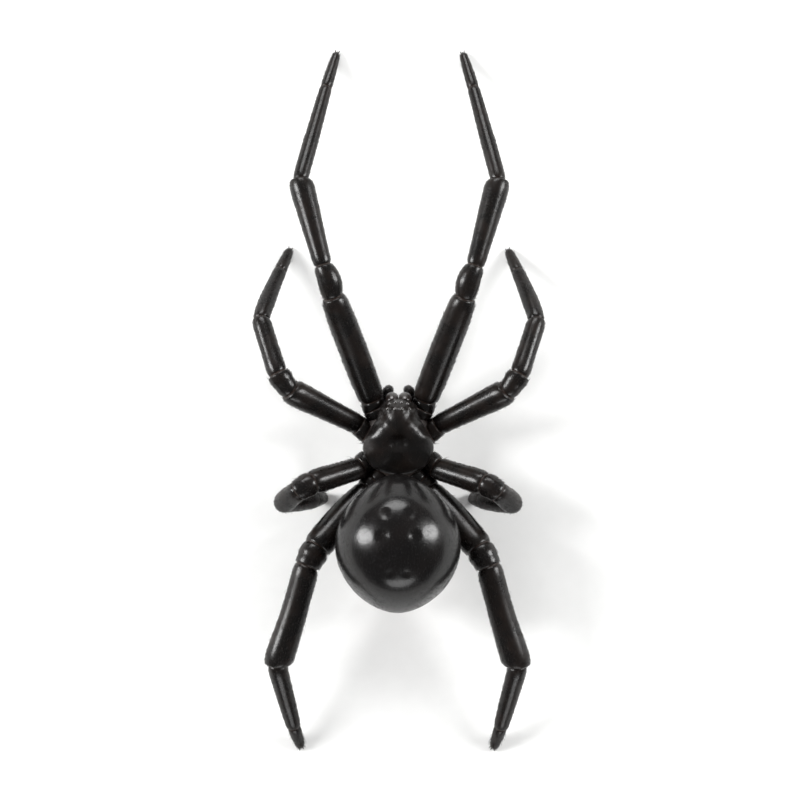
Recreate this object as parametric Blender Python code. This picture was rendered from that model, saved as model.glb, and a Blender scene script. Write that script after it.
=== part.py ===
"""A female black widow spider, life size, standing still on eight feet.

Metres, +Z up. The head faces -Y and the spider's left side is +X. The floor is z = 0 and the
origin lies on it, in the middle of the span of the legs. Every named body piece is one closed
object, parted from its neighbours by a thin gap.
"""

from bisect import bisect_right
from math import copysign, cos, pi, radians, sin

import bmesh
import bpy
from mathutils import Matrix, Vector
from mathutils.bvhtree import BVHTree

MM = 0.001
SEAM = 0.20  # gap between two pieces that meet, in mm, as all the sizes below

# Driving sizes of the body, front to back along Y.
CARAPACE_FRONT = -0.08
CARAPACE_BACK = 4.06
CARAPACE_HALF_WIDTH = 1.97
CARAPACE_UNDERSIDE = 2.58
CARAPACE_MARGIN = 2.80
STERNUM_FRONT = 0.90
STERNUM_BACK = 4.00
STERNUM_HALF_WIDTH = 0.98
STERNUM_BOTTOM = 1.28
ABDOMEN_FRONT = 3.92
ABDOMEN_WAIST = 7.90
ABDOMEN_BACK = 11.72
ABDOMEN_HALF_WIDTH = 3.47
ABDOMEN_BOTTOM = 1.90
ABDOMEN_TOP = 8.50
ABDOMEN_CENTRE = 5.20
PEDICEL_WIDTH = 0.70

# How round the faceted pieces are.
LIMB_ROUNDING = 4  # bevel resolution of a limb, which gives 12 sides
BODY_SIDES = 36
BODY_RINGS = 26
SHARP_ANGLE = radians(50)
WELD = 0.002  # corners nearer than this are one corner, in mm

# Each leg of the left side. "coxa" runs from its root beside the sternum, over the bend at the
# trochanter, to the hip. "joints" are the knee, the two joints of the shin, the wrist of the
# foot and the middle of its tip. "widths" are (share of the piece's length, width) from its
# root to its end, and "bows" push the middle of a piece sideways.
LEGS = {
    1: {
        "coxa": ((0.80, 1.12, 1.90), (1.34, 0.48, 1.93), (1.46, -0.07, 2.02)),
        "joints": (
            (3.63, -5.68, 4.90),
            (4.18, -7.42, 5.12),
            (5.46, -12.10, 4.02),
            (4.06, -17.20, 1.12),
            (3.53, -18.94, 0.15),
        ),
        "widths": {
            "coxa": ((0, 0.78), (0.6, 1.02), (1, 1.14)),
            "femur": ((0, 1.34), (0.1, 1.48), (0.35, 1.55), (0.88, 1.50), (1, 1.20)),
            "patella": ((0, 1.14), (0.35, 1.30), (0.55, 1.32), (0.85, 1.03), (1, 0.96)),
            "tibia": ((0, 0.97), (0.3, 1.12), (0.7, 1.29), (0.93, 1.37), (1, 1.24)),
            "metatarsus": ((0, 0.84), (0.25, 0.86), (0.6, 0.78), (1, 0.66)),
            "tarsus": ((0, 0.66), (0.5, 0.58), (1, 0.48)),
        },
        "bows": {"patella": (-0.09, -0.03, 0.05)},
    },
    2: {
        "coxa": ((0.95, 2.00, 1.90), (1.76, 1.79, 1.94), (2.21, 1.34, 2.02)),
        "joints": (
            (5.98, -0.52, 4.55),
            (6.64, -1.46, 4.72),
            (7.60, -4.44, 3.42),
            (6.54, -7.12, 0.98),
            (6.09, -8.13, 0.15),
        ),
        "widths": {
            "coxa": ((0, 0.76), (0.62, 1.00), (1, 1.14)),
            "femur": ((0, 1.08), (0.12, 1.14), (0.5, 1.27), (0.92, 1.45), (1, 1.26)),
            "patella": ((0, 1.24), (0.3, 1.16), (0.75, 1.32), (1, 1.24)),
            "tibia": ((0, 1.16), (0.2, 1.07), (0.6, 1.03), (0.93, 1.05), (1, 0.96)),
            "metatarsus": ((0, 0.84), (0.2, 0.93), (0.5, 0.88), (1, 0.70)),
            "tarsus": ((0, 0.70), (0.5, 0.61), (1, 0.50)),
        },
        "bows": {"metatarsus": (0.06, 0.02, 0.0)},
    },
    3: {
        "coxa": ((0.95, 2.84, 1.90), (1.62, 3.22, 1.94), (2.10, 3.71, 2.02)),
        "joints": (
            (4.72, 4.52, 4.00),
            (5.50, 4.98, 4.16),
            (6.32, 5.66, 2.72),
            (4.62, 5.48, 1.10),
            (4.10, 5.37, 0.18),
        ),
        "widths": {
            "coxa": ((0, 0.74), (0.5, 0.82), (1, 1.04)),
            "femur": ((0, 1.16), (0.12, 1.23), (0.5, 1.27), (0.85, 1.36), (1, 1.28)),
            "patella": ((0, 1.30), (0.5, 1.34), (1, 1.20)),
            "tibia": ((0, 1.14), (0.3, 1.14), (0.75, 1.22), (1, 1.12)),
            "metatarsus": ((0, 1.02), (0.3, 1.08), (0.7, 1.02), (1, 0.92)),
            "tarsus": ((0, 0.90), (0.5, 0.76), (1, 0.60)),
        },
        "bows": {},
    },
    4: {
        "coxa": ((0.62, 3.86, 1.84), (1.24, 4.42, 1.76), (1.76, 4.92, 1.74)),
        "joints": (
            (4.50, 8.12, 3.75),
            (5.01, 9.12, 3.98),
            (6.64, 14.56, 3.06),
            (5.70, 17.98, 0.98),
            (5.37, 18.94, 0.15),
        ),
        "widths": {
            "coxa": ((0, 0.84), (0.5, 0.90), (1, 0.96)),
            "femur": ((0, 1.00), (0.15, 1.34), (0.4, 1.56), (0.93, 1.62), (1, 1.54)),
            "patella": ((0, 1.60), (0.3, 1.62), (0.85, 1.36), (1, 1.36)),
            "tibia": ((0, 1.42), (0.3, 1.40), (0.6, 1.48), (0.93, 1.61), (1, 1.44)),
            "metatarsus": ((0, 1.10), (0.4, 1.00), (0.7, 0.93), (1, 0.76)),
            "tarsus": ((0, 0.76), (0.5, 0.65), (1, 0.52)),
        },
        "bows": {"femur": (0.03, -0.03, -0.10), "tibia": (-0.08, 0.02, 0.0)},
    },
}


def mm(x, y, z):
    """A point given in millimetres, in metres."""
    return Vector((x, y, z)) * MM


def through(knots, place):
    """The value at a place on the smooth curve through knots of (place, value)."""
    last = len(knots) - 2
    i = min(max(bisect_right([k[0] for k in knots], place) - 1, 0), last)
    (t0, v0), (t1, v1) = knots[i], knots[i + 1]
    before = knots[i - 1] if i > 0 else (2 * t0 - t1, 2 * v0 - v1)
    after = knots[i + 2] if i < last else (2 * t1 - t0, 2 * v1 - v0)
    span = t1 - t0
    slope0 = (v1 - before[1]) / (t1 - before[0]) * span
    slope1 = (after[1] - v0) / (after[0] - t0) * span
    s = (place - t0) / span
    return (
        v0 * (2 * s**3 - 3 * s**2 + 1)
        + slope0 * (s**3 - 2 * s**2 + s)
        + v1 * (3 * s**2 - 2 * s**3)
        + slope1 * (s**3 - s**2)
    )


# ---- scene, materials and the small tools that every piece uses ----


def clear_scene():
    for obj in list(bpy.data.objects):
        bpy.data.objects.remove(obj)


def collection(name):
    made = bpy.data.collections.new(name)
    bpy.context.scene.collection.children.link(made)
    return made


def finish(name, colour, roughness, coat=0.0):
    material = bpy.data.materials.new(name)
    material.use_nodes = True
    shader = material.node_tree.nodes["Principled BSDF"]
    shader.inputs["Base Color"].default_value = (*colour, 1)
    shader.inputs["Roughness"].default_value = roughness
    shader.inputs["Metallic"].default_value = 0.0
    shader.inputs["Coat Weight"].default_value = coat
    return material


def place(name, mesh, material, into):
    """A mesh as an object of its own, smooth shaded, with one material."""
    mesh.name = name
    mesh.materials.clear()
    mesh.materials.append(material)
    mesh.shade_smooth()
    mesh.set_sharp_from_angle(angle=SHARP_ANGLE)
    obj = bpy.data.objects.new(name, mesh)
    into.objects.link(obj)
    return obj


def mesh_from(bm):
    mesh = bpy.data.meshes.new("shape")
    bm.to_mesh(mesh)
    bm.free()
    return mesh


def keep_side(mesh, point, normal):
    """Cuts a closed mesh by a plane and caps it, keeping the side that the normal points to."""
    bm = bmesh.new()
    bm.from_mesh(mesh)
    everything = bm.verts[:] + bm.edges[:] + bm.faces[:]
    bmesh.ops.bisect_plane(
        bm, geom=everything, plane_co=point, plane_no=normal, clear_inner=True
    )
    rim = [edge for edge in bm.edges if edge.is_boundary]
    if rim:
        bmesh.ops.holes_fill(bm, edges=rim, sides=0)
    bmesh.ops.remove_doubles(bm, verts=bm.verts[:], dist=WELD * MM)
    bm.to_mesh(mesh)
    bm.free()


def grown(mesh, by):
    """A copy of a mesh with its surface moved out, which cuts a neighbour clear of it."""
    bm = bmesh.new()
    bm.from_mesh(mesh)
    bm.normal_update()
    for vert in bm.verts:
        vert.co += vert.normal * by
    return mesh_from(bm)


def largest_body(mesh):
    """Drops every loose scrap of a mesh and keeps its largest closed surface."""
    bm = bmesh.new()
    bm.from_mesh(mesh)
    left = set(bm.verts)
    bodies = []
    while left:
        body = {left.pop()}
        front = list(body)
        while front:
            vert = front.pop()
            for edge in vert.link_edges:
                other = edge.other_vert(vert)
                if other in left:
                    left.remove(other)
                    body.add(other)
                    front.append(other)
        bodies.append(body)
    keep = max(bodies, key=len)
    bmesh.ops.delete(bm, geom=[v for v in bm.verts if v not in keep], context="VERTS")
    bmesh.ops.dissolve_degenerate(bm, edges=bm.edges[:], dist=WELD / 2 * MM)
    bm.to_mesh(mesh)
    bm.free()


def combine(mesh, others, operation):
    """The Boolean UNION or DIFFERENCE of one closed mesh with a list of others."""
    helpers = bpy.data.collections.new("helpers")
    for other in others:
        helpers.objects.link(bpy.data.objects.new("helper", other))
    body = bpy.data.objects.new("body", mesh)
    bpy.context.scene.collection.objects.link(body)
    modifier = body.modifiers.new("combine", "BOOLEAN")
    modifier.operand_type = "COLLECTION"
    modifier.collection = helpers
    modifier.operation = operation
    modifier.solver = "EXACT"
    graph = bpy.context.evaluated_depsgraph_get()
    made = bpy.data.meshes.new_from_object(body.evaluated_get(graph))
    for obj in [body, *helpers.objects]:
        bpy.data.objects.remove(obj)
    bpy.data.collections.remove(helpers)
    largest_body(made)
    return made


def tube(points, widths, rounding=LIMB_ROUNDING):
    """A closed mesh tube along points, as wide at each as widths says, both in mm."""
    curve = bpy.data.curves.new("tube", "CURVE")
    curve.dimensions = "3D"
    curve.bevel_depth = 1.0
    curve.bevel_resolution = rounding
    curve.use_fill_caps = True
    spline = curve.splines.new("POLY")
    spline.points.add(len(points) - 1)
    for knot, point, width in zip(spline.points, points, widths):
        knot.co = (*(Vector(point) * MM), 1)
        knot.radius = width / 2 * MM
    obj = bpy.data.objects.new("tube", curve)
    bpy.context.scene.collection.objects.link(obj)
    graph = bpy.context.evaluated_depsgraph_get()
    mesh = bpy.data.meshes.new_from_object(obj.evaluated_get(graph))
    bpy.data.objects.remove(obj)
    bm = bmesh.new()
    bm.from_mesh(mesh)
    bmesh.ops.remove_doubles(bm, verts=bm.verts[:], dist=WELD * MM)
    bmesh.ops.recalc_face_normals(bm, faces=bm.faces[:])
    bm.to_mesh(mesh)
    bm.free()
    return mesh


def ball(shape, sides=BODY_SIDES, rings=BODY_RINGS):
    """A sphere whose poles lie along Y, each point moved to shape(along, across, up).

    along runs from -1 at the front pole to 1 at the back, and (across, up) is the unit
    direction round that axis, scaled by the ring's own radius.
    """
    bm = bmesh.new()
    bmesh.ops.create_uvsphere(
        bm,
        u_segments=sides,
        v_segments=rings,
        radius=1.0,
        matrix=Matrix.Rotation(-pi / 2, 4, "X"),
    )
    for vert in bm.verts:
        vert.co = shape(vert.co.y, vert.co.x, vert.co.z)
    bmesh.ops.recalc_face_normals(bm, faces=bm.faces[:])
    return mesh_from(bm)


def blunt_ring(along, bluntness):
    """The radius of a unit ball's ring, and the share of its full width that a blunt shape has."""
    ring = max(1 - along * along, 0.0) ** 0.5
    return ring, min(ring / bluntness, 1.0) ** 0.5


def mirrored(mesh):
    """The same piece for the right side of the body."""
    bm = bmesh.new()
    bm.from_mesh(mesh)
    bmesh.ops.scale(bm, vec=(-1, 1, 1), verts=bm.verts[:])
    bmesh.ops.reverse_faces(bm, faces=bm.faces[:])
    return mesh_from(bm)


# ---- the carapace: the shield over the head and thorax, with its eyes ----

# Half width and height above the margin, from the clypeus (0) to the back edge (1).
CARAPACE_OUTLINE = (
    (0.00, 0.66),
    (0.10, 0.98),
    (0.28, 1.20),
    (0.48, 1.76),
    (0.66, CARAPACE_HALF_WIDTH),
    (0.82, 1.72),
    (0.94, 1.30),
    (1.00, 0.92),
)
CARAPACE_CREST = (
    (0.00, 0.42),
    (0.08, 1.02),
    (0.22, 1.34),
    (0.42, 1.24),
    (0.60, 0.98),
    (0.80, 0.66),
    (0.94, 0.36),
    (1.00, 0.24),
)
CARAPACE_BLUNTNESS = 0.55
CARAPACE_RUN_ON = 0.10  # drop of the shell below its flat underside before that is cut
# Eyes of the left side: share along the carapace, distance from the midline, radius.
EYE_SINK = 0.25  # share of its radius by which an eye's centre lies under the shell
EYES = ((0.045, 0.17, 0.13), (0.060, 0.50, 0.12), (0.130, 0.19, 0.12), (0.130, 0.60, 0.12))


def carapace_shape():
    length = CARAPACE_BACK - CARAPACE_FRONT
    below = CARAPACE_MARGIN - CARAPACE_UNDERSIDE + CARAPACE_RUN_ON

    def shape(along, across, up):
        share = (along + 1) / 2
        ring, blunt = blunt_ring(along, CARAPACE_BLUNTNESS)
        if ring > 0:
            across, up = across / ring, up / ring
        x = through(CARAPACE_OUTLINE, share) * blunt * across
        z = CARAPACE_MARGIN + (through(CARAPACE_CREST, share) * blunt if up > 0 else below) * up
        return mm(x, CARAPACE_FRONT + length * share, z)

    return ball(shape, sides=32, rings=22)


def surface_height(mesh, x, y):
    """Height of the top of a mesh over a point, in mm."""
    bm = bmesh.new()
    bm.from_mesh(mesh)
    tree = BVHTree.FromBMesh(bm)
    bm.free()
    hit = tree.ray_cast(mm(x, y, 2 * ABDOMEN_TOP), Vector((0, 0, -1)))[0]
    return hit.z / MM


def eye_balls(mesh):
    length = CARAPACE_BACK - CARAPACE_FRONT
    made = []
    for share, off, radius in EYES:
        y = CARAPACE_FRONT + length * share
        z = surface_height(mesh, off, y) - EYE_SINK * radius
        for side in (1, -1):
            bm = bmesh.new()
            bmesh.ops.create_icosphere(bm, subdivisions=1, radius=radius * MM)
            bmesh.ops.translate(bm, vec=mm(side * off, y, z), verts=bm.verts[:])
            made.append(mesh_from(bm))
    return made


def build_carapace(into, look):
    mesh = carapace_shape()
    keep_side(mesh, mm(0, 0, CARAPACE_UNDERSIDE), (0, 0, 1))
    clearance = grown(mesh, SEAM * MM)
    mesh = combine(mesh, eye_balls(mesh), "UNION")
    place("carapace", mesh, look, into)
    return clearance


# ---- the sternum: the shield between the coxae, with the labium at its front ----

STERNUM_OUTLINE = ((0.0, 0.50), (0.15, 0.80), (0.40, STERNUM_HALF_WIDTH), (0.70, 0.80), (1.0, 0.30))
STERNUM_BLUNTNESS = 0.5
STERNUM_SQUARENESS = 0.6  # under 1 fills out the sides of its section
STERNUM_RUN_ON = 1.2  # height over its flat top before that is cut, as a share
LABIUM = (((0, 1.30, 1.55), 0.62), ((0, 0.98, 1.50), 0.58), ((0, 0.78, 1.46), 0.36))


def build_sternum(into, look):
    length = STERNUM_BACK - STERNUM_FRONT
    top = CARAPACE_UNDERSIDE - SEAM
    middle = (top + STERNUM_BOTTOM) / 2

    def shape(along, across, up):
        share = (along + 1) / 2
        ring, blunt = blunt_ring(along, STERNUM_BLUNTNESS)
        if ring > 0:
            across, up = across / ring, up / ring
        half = through(STERNUM_OUTLINE, share) * blunt
        x = half * copysign(abs(across) ** STERNUM_SQUARENESS, across)
        tall = STERNUM_RUN_ON * (top - middle) if up > 0 else middle - STERNUM_BOTTOM
        return mm(x, STERNUM_FRONT + length * share, middle + tall * up)

    mesh = ball(shape, sides=20, rings=12)
    keep_side(mesh, mm(0, 0, top), (0, 0, -1))
    clearance = grown(mesh, SEAM * MM)
    labium = tube([p for p, _ in LABIUM], [w for _, w in LABIUM], rounding=3)
    mesh = combine(mesh, [labium], "UNION")
    place("sternum", mesh, look, into)
    return clearance


# ---- the abdomen, its waist and the spinnerets ----


# The back end droops towards the spinnerets and the front end towards the waist.
ABDOMEN_DROOP_BACK = 0.75
ABDOMEN_DROOP_FRONT = 0.95
# Powers of the ring radius: over 1 narrows the ends, beside a plain egg.
ABDOMEN_POINTED_BACK = 1.24
ABDOMEN_POINTED_FRONT = 1.42
ABDOMEN_FLATTENED = 1.1
ABDOMEN_BELLY = 0.16  # narrowing of the belly, where the last legs pass


def abdomen_point(along, across, up):
    """The place of a point of the unit ball on the abdomen, in mm."""
    ring = max(1 - along * along, 0.0) ** 0.5
    if ring > 0:
        across, up = across / ring, up / ring
    behind = along > 0
    reach = ABDOMEN_BACK - ABDOMEN_WAIST if behind else ABDOMEN_WAIST - ABDOMEN_FRONT
    wide = ring ** (ABDOMEN_POINTED_BACK if behind else ABDOMEN_POINTED_FRONT)
    droop = ABDOMEN_DROOP_BACK if behind else ABDOMEN_DROOP_FRONT
    centre = ABDOMEN_CENTRE - droop * along * along
    tall = (ABDOMEN_TOP - centre) if up > 0 else (centre - ABDOMEN_BOTTOM)
    belly = 1 - ABDOMEN_BELLY * min(up, 0.0) ** 2
    x = ABDOMEN_HALF_WIDTH * wide * belly * across
    z = centre + tall * ring**ABDOMEN_FLATTENED * up
    return Vector((x, ABDOMEN_WAIST + reach * along, z))


def build_abdomen(into, look):
    mesh = ball(lambda *direction: abdomen_point(*direction) * MM)
    place("abdomen", mesh, look, into)
    return grown(mesh, SEAM * MM)


PEDICEL = ((0, 3.2, 2.72), (0, 3.9, 2.74), (0, 4.5, 3.0), (0, 5.4, 3.7))


def build_pedicel(into, look, clear_of):
    mesh = tube(PEDICEL, (PEDICEL_WIDTH,) * len(PEDICEL))
    mesh = combine(mesh, clear_of, "DIFFERENCE")
    place("pedicel", mesh, look, into)


# The spinnerets stand on a low ring at this share of the way from the abdomen's waist to its
# back end, and point down and back. Each pair: its roots' distance from the midline, their
# place back and up from the ring's middle, and length, width and lean forward of a cone.
SPINNERET_PLACE = 0.62
SPINNERET_AXIS = Vector((0, 0.45, -0.9)).normalized()
SPINNERET_RING = ((-0.50, 1.36), (0.46, 1.12))  # (place along the axis, width)
SPINNERETS = ((0.24, -0.20, -0.09, 0.86, 0.42, 0.07), (0.27, 0.23, 0.10, 0.92, 0.40, -0.08))
SPINNERET_SPREAD = 0.10
SPINNERET_TAPER = ((0.0, 1.0), (0.7, 0.9), (1.0, 0.4))  # (share of its length, of its width)


def build_spinnerets(into, look, clear_of):
    low = -((1 - SPINNERET_PLACE**2) ** 0.5)
    foot = abdomen_point(SPINNERET_PLACE, 0, low)
    points = [foot + SPINNERET_AXIS * t for t, _ in SPINNERET_RING]
    base = tube(points, [width for _, width in SPINNERET_RING])
    cones = []
    for off, back, up, length, width, lean in SPINNERETS:
        for side in (1, -1):
            root = foot + Vector((side * off, back, up))
            axis = SPINNERET_AXIS + Vector((side * SPINNERET_SPREAD, -lean, 0))
            points = [root + axis * length * t for t, _ in SPINNERET_TAPER]
            cones.append(tube(points, [width * w for _, w in SPINNERET_TAPER], rounding=2))
    mesh = combine(base, cones, "UNION")
    mesh = combine(mesh, clear_of, "DIFFERENCE")
    place("spinnerets", mesh, look, into)


# ---- limbs: chains of tapered pieces, each cut square to the bend of its joint ----


def joint_normal(before, joint, after):
    """The direction square to the cut between two limb pieces."""
    return ((joint - before).normalized() + (after - joint).normalized()).normalized()


RUN_ON = 0.25  # length of a limb piece past each joint before it is cut there
FOOT_TIP = (30, 55, 75)  # angles of the rings that round the tip of a foot
COXA_BEND = 0.6  # share of its length at which a coxa bends
COXA_RUN_ON = 1.5
COXA_RINGS = 7
LIMB_RINGS = {"femur": 10, "patella": 7, "tibia": 9, "metatarsus": 8}


def limb_piece(start, end, widths, bow, rings):
    """A tapered tube from start to end, run on a little past both for the cuts."""
    run_on = RUN_ON / (end - start).length
    shares = [-run_on, *(i / (rings - 1) for i in range(rings)), 1 + run_on]
    inside = [min(max(share, 0.0), 1.0) for share in shares]
    points = [start.lerp(end, t) + bow * 4 * s * (1 - s) for t, s in zip(shares, inside)]
    return tube(points, [through(widths, s) for s in inside])


def foot_piece(start, end, widths):
    """The tarsus: a tapered tube with a round tip, flat where it stands on the floor."""
    length = (end - start).length
    tip = widths[-1][1] / 2
    shares = [-RUN_ON / length, 0.0, 0.3, 0.6, 0.8, 1.0]
    sizes = [through(widths, max(share, 0.0)) for share in shares]
    for angle in FOOT_TIP:
        shares.append(1 + sin(radians(angle)) * tip / length)
        sizes.append(2 * tip * cos(radians(angle)))
    mesh = tube([start.lerp(end, share) for share in shares], sizes)
    keep_side(mesh, mm(0, 0, 0), (0, 0, 1))
    return mesh


def coxa_piece(root, bend, hip, widths):
    """The bent root of a leg, run on past the hip for the cut there."""
    knots = ((0.0, root), (COXA_BEND, bend), (1.0, hip))
    shares = [i / COXA_RINGS for i in range(COXA_RINGS + 1)]
    points = [through(knots, share) for share in shares] + [bend.lerp(hip, COXA_RUN_ON)]
    sizes = [through(widths, share) for share in shares]
    return tube(points, sizes + [sizes[-1]])


def cut_at(mesh, joint, normal, outer):
    """Trims a piece at a joint, half a seam short of it, keeping its body side or outer side."""
    side = 1 if outer else -1
    keep_side(mesh, (joint + normal * side * SEAM / 2) * MM, normal * side)


def build_leg(number, into, look, clear_of):
    leg = LEGS[number]
    root, bend, hip = (Vector(point) for point in leg["coxa"])
    joints = [hip, *(Vector(point) for point in leg["joints"])]
    widths = leg["widths"]
    normals = [joint_normal(bend, hip, joints[1])]
    for i in range(1, len(joints) - 1):
        normals.append(joint_normal(joints[i - 1], joints[i], joints[i + 1]))

    coxa = coxa_piece(root, bend, hip, widths["coxa"])
    cut_at(coxa, hip, normals[0], outer=False)
    pieces = {"coxa": combine(coxa, clear_of, "DIFFERENCE")}
    for i, (name, rings) in enumerate(LIMB_RINGS.items()):
        bow = Vector(leg["bows"].get(name, (0, 0, 0)))
        mesh = limb_piece(joints[i], joints[i + 1], widths[name], bow, rings)
        cut_at(mesh, joints[i], normals[i], outer=True)
        cut_at(mesh, joints[i + 1], normals[i + 1], outer=False)
        pieces[name] = mesh
    pieces["tarsus"] = foot_piece(joints[4], joints[5], widths["tarsus"])
    cut_at(pieces["tarsus"], joints[4], normals[4], outer=True)

    for name, mesh in pieces.items():
        right = mirrored(mesh)
        place(f"leg_{number}_left_{name}", mesh, look, into)
        place(f"leg_{number}_right_{name}", right, look, into)


# ---- the face: jaws with their fangs, and the palps ----

# (point, width) from root to tip.
CHELICERA = (
    ((0.37, 0.26, 2.84), 0.60),
    ((0.37, -0.03, 2.42), 0.68),
    ((0.37, 0.09, 1.88), 0.60),
    ((0.33, 0.20, 1.40), 0.42),
    ((0.30, 0.26, 1.18), 0.28),
)
FANG = (
    ((0.31, 0.26, 1.36), 0.24),
    ((0.27, 0.35, 1.13), 0.19),
    ((0.19, 0.44, 1.02), 0.10),
)
# The palp leaves its plate beside the labium, runs out below the hip of the first leg and
# bends down at its knee, in front of the jaw.
PALP_FEMUR = (
    ((0.48, 0.84, 1.24), 0.48),
    ((0.74, 0.48, 1.08), 0.42),
    ((0.87, 0.06, 1.00), 0.40),
    ((0.81, -0.36, 1.16), 0.43),
    ((0.64, -0.60, 1.40), 0.45),
)
PALP_FOOT = (
    ((0.66, -0.55, 1.40), 0.40),
    ((0.58, -0.64, 1.18), 0.45),
    ((0.51, -0.60, 0.84), 0.42),
    ((0.47, -0.47, 0.48), 0.20),
)
PALP_RINGS = 12


def palp_tube(path):
    """A smooth tube through (point, width) knots that are taken as evenly spaced."""
    spans = len(path) - 1
    points = [(i / spans, Vector(point)) for i, (point, _) in enumerate(path)]
    widths = [(i / spans, width) for i, (_, width) in enumerate(path)]
    shares = [i / PALP_RINGS for i in range(PALP_RINGS + 1)]
    return tube([through(points, s) for s in shares], [through(widths, s) for s in shares], 3)


def build_face(into, jaw_look, palp_look, carapace_clear, sternum_clear):
    jaw = tube([p for p, _ in CHELICERA], [w for _, w in CHELICERA])
    fang = tube([p for p, _ in FANG], [w for _, w in FANG], rounding=1)
    jaw = combine(jaw, [fang], "UNION")
    keep_side(jaw, mm(SEAM / 2, 0, 0), (1, 0, 0))
    jaw = combine(jaw, [carapace_clear], "DIFFERENCE")
    palp = combine(palp_tube(PALP_FEMUR), [palp_tube(PALP_FOOT)], "UNION")
    palp = combine(palp, [sternum_clear], "DIFFERENCE")
    for name, mesh, look in (("chelicera", jaw, jaw_look), ("palp", palp, palp_look)):
        right = mirrored(mesh)
        place(f"{name}_left", mesh, look, into)
        place(f"{name}_right", right, look, into)


def build_spider():
    clear_scene()
    spider = collection("black_widow_spider")
    shell = finish("carapace_cuticle", (0.012, 0.010, 0.009), 0.28, 0.3)
    plate = finish("sternum_cuticle", (0.016, 0.012, 0.010), 0.34, 0.2)
    skin = finish("abdomen_skin", (0.008, 0.007, 0.007), 0.18, 0.6)
    leg = finish("leg_cuticle", (0.014, 0.011, 0.010), 0.30, 0.2)
    jaw = finish("jaw_cuticle", (0.030, 0.014, 0.010), 0.30, 0.2)

    carapace_clear = build_carapace(spider, shell)
    sternum_clear = build_sternum(spider, plate)
    abdomen_clear = build_abdomen(spider, skin)
    body = [carapace_clear, sternum_clear]
    build_pedicel(spider, plate, [*body, abdomen_clear])
    build_spinnerets(spider, plate, [abdomen_clear])
    for number in LEGS:
        build_leg(number, spider, leg, body)
    build_face(spider, jaw, leg, carapace_clear, sternum_clear)


build_spider()
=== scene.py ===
"""A female black widow spider at life size, as a museum model standing on eight feet.

Metres, +Z up. The head faces -Y and the spider's left side is +X, as in the frame. Sizes and
places are written in millimetres and turned into metres by mm() or MM.
"""

from contextlib import contextmanager
from math import ceil, cos, pi, radians, sin, tan

import bpy
import numpy as np
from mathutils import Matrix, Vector
from mathutils.bvhtree import BVHTree


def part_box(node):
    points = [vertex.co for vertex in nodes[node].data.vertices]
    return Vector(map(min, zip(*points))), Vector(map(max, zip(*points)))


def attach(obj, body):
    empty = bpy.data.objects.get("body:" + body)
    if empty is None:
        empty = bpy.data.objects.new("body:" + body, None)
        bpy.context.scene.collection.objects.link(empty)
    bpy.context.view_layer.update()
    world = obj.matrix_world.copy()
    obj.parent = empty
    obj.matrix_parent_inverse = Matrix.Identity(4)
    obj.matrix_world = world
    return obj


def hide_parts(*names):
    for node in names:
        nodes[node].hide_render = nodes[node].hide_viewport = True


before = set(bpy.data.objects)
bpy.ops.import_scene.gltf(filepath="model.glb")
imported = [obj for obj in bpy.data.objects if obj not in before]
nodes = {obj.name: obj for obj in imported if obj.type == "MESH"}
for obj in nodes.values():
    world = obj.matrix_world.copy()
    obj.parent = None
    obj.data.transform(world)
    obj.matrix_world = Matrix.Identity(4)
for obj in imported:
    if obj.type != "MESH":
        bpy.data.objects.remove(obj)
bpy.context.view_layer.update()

# ---- The studio ----
# The model stands on a sheet of white card. Soft boxes light it from both sides and, weaker,
# from its head and its tail, and a dim even room fills the shadows. The camera hangs above the
# middle of the body with a long lens and looks straight down, head up.

MM = 0.001
CARD_SIZE = 1400 * MM
VIEW_WIDTH = 44.0 * MM  # what the view spans at the height of the feet and shins
VIEW_HEIGHT = 2.0 * MM
VIEW_CENTRE = (-0.0825 * MM, -0.0275 * MM)
VIEW_ROLL = radians(0.22)
LENS = 800.0
SENSOR = 36.0


def mm(x, y, z):
    """A point given in millimetres, in metres."""
    return Vector((x, y, z)) * MM


def active_mesh(name):
    """Names the piece that was added last and returns it."""
    piece = bpy.context.object
    piece.name = piece.data.name = name
    return piece


def alone(piece):
    """Makes a piece the active one and the only one that is selected."""
    bpy.ops.object.select_all(action="DESELECT")
    piece.select_set(True)
    bpy.context.view_layer.objects.active = piece


@contextmanager
def edited(piece):
    """Holds a piece in edit mode, at first with all of it selected."""
    alone(piece)
    bpy.ops.object.mode_set(mode="EDIT")
    bpy.ops.mesh.select_all(action="SELECT")
    yield
    bpy.ops.object.mode_set(mode="OBJECT")


bpy.ops.object.select_all(action="DESELECT")
bpy.ops.mesh.primitive_plane_add(size=CARD_SIZE)
card = active_mesh("floor")
with edited(card):
    bpy.ops.mesh.subdivide(number_cuts=3)

bpy.ops.object.camera_add(
    location=(*VIEW_CENTRE, VIEW_HEIGHT + VIEW_WIDTH * LENS / SENSOR), rotation=(0, 0, pi + VIEW_ROLL)
)
camera = bpy.context.object
camera.data.type = "PERSP"
camera.data.lens = LENS
camera.data.sensor_width = SENSOR
camera.data.clip_start = 0.01
camera.data.clip_end = 10.0
camera.data.dof.use_dof = False
bpy.context.scene.camera = camera

# Each soft box: place, and size in metres, aimed at the model; power in watts.
SOFT_BOXES = {
    "left": ((0.46, -0.10, 0.24), (0.20, 0.34), 4.4),
    "right": ((-0.46, -0.16, 0.24), (0.20, 0.34), 3.6),
    "head": ((0.05, -0.50, 0.22), (0.40, 0.18), 2.0),
    "tail": ((-0.04, 0.50, 0.20), (0.44, 0.14), 1.0),
}
for name, (place, size, power) in SOFT_BOXES.items():
    bpy.ops.object.light_add(
        type="AREA", location=place, rotation=Vector(place).to_track_quat("Z", "Y").to_euler()
    )
    lamp = bpy.context.object
    lamp.name = f"light_{name}"
    lamp.data.shape = "ELLIPSE"
    lamp.data.size, lamp.data.size_y = size
    lamp.data.energy = power

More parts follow.
